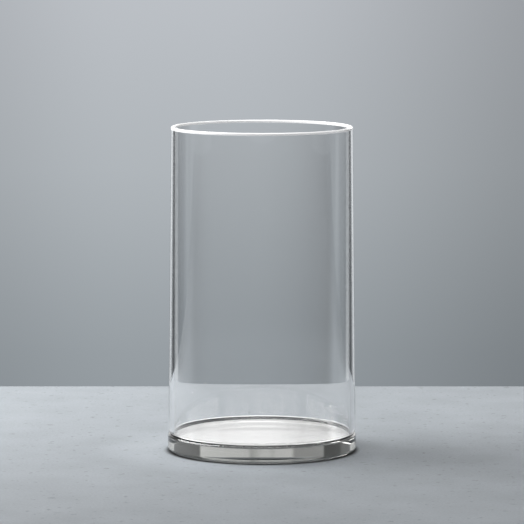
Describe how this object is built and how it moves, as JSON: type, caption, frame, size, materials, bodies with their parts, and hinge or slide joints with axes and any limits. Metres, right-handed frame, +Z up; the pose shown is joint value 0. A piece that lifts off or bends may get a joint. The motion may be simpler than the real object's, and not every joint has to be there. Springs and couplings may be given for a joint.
{
  "type": "glass cylinder vase",
  "caption": "Clear glass cylinder vase: a slightly tapered sleeve with a fire-polished rim, bonded to a heavy base with a foot ring. Holds cut flowers and water.",
  "frame": {"origin": "centre of the foot ring, on the surface that the vase stands on", "axes": "+Z up along the vase's axis, out of the mouth; X and Y are any two level directions, as the vase is round"},
  "size_m": [0.1034, 0.1034, 0.178],
  "materials": {
    "wall_glass": "clear soda-lime glass, fire-polished, smooth",
    "base_glass": "clear soda-lime glass, thick, faintly grey where it is looked through edge on",
    "clear_bond": "cured clear resin of the same index as the glass, smooth"
  },
  "bodies": {
    "root": {"cylinder_wall": "wall_glass", "base_disc": "base_glass", "bond_ring": "clear_bond"}
  },
  "joints": []
}
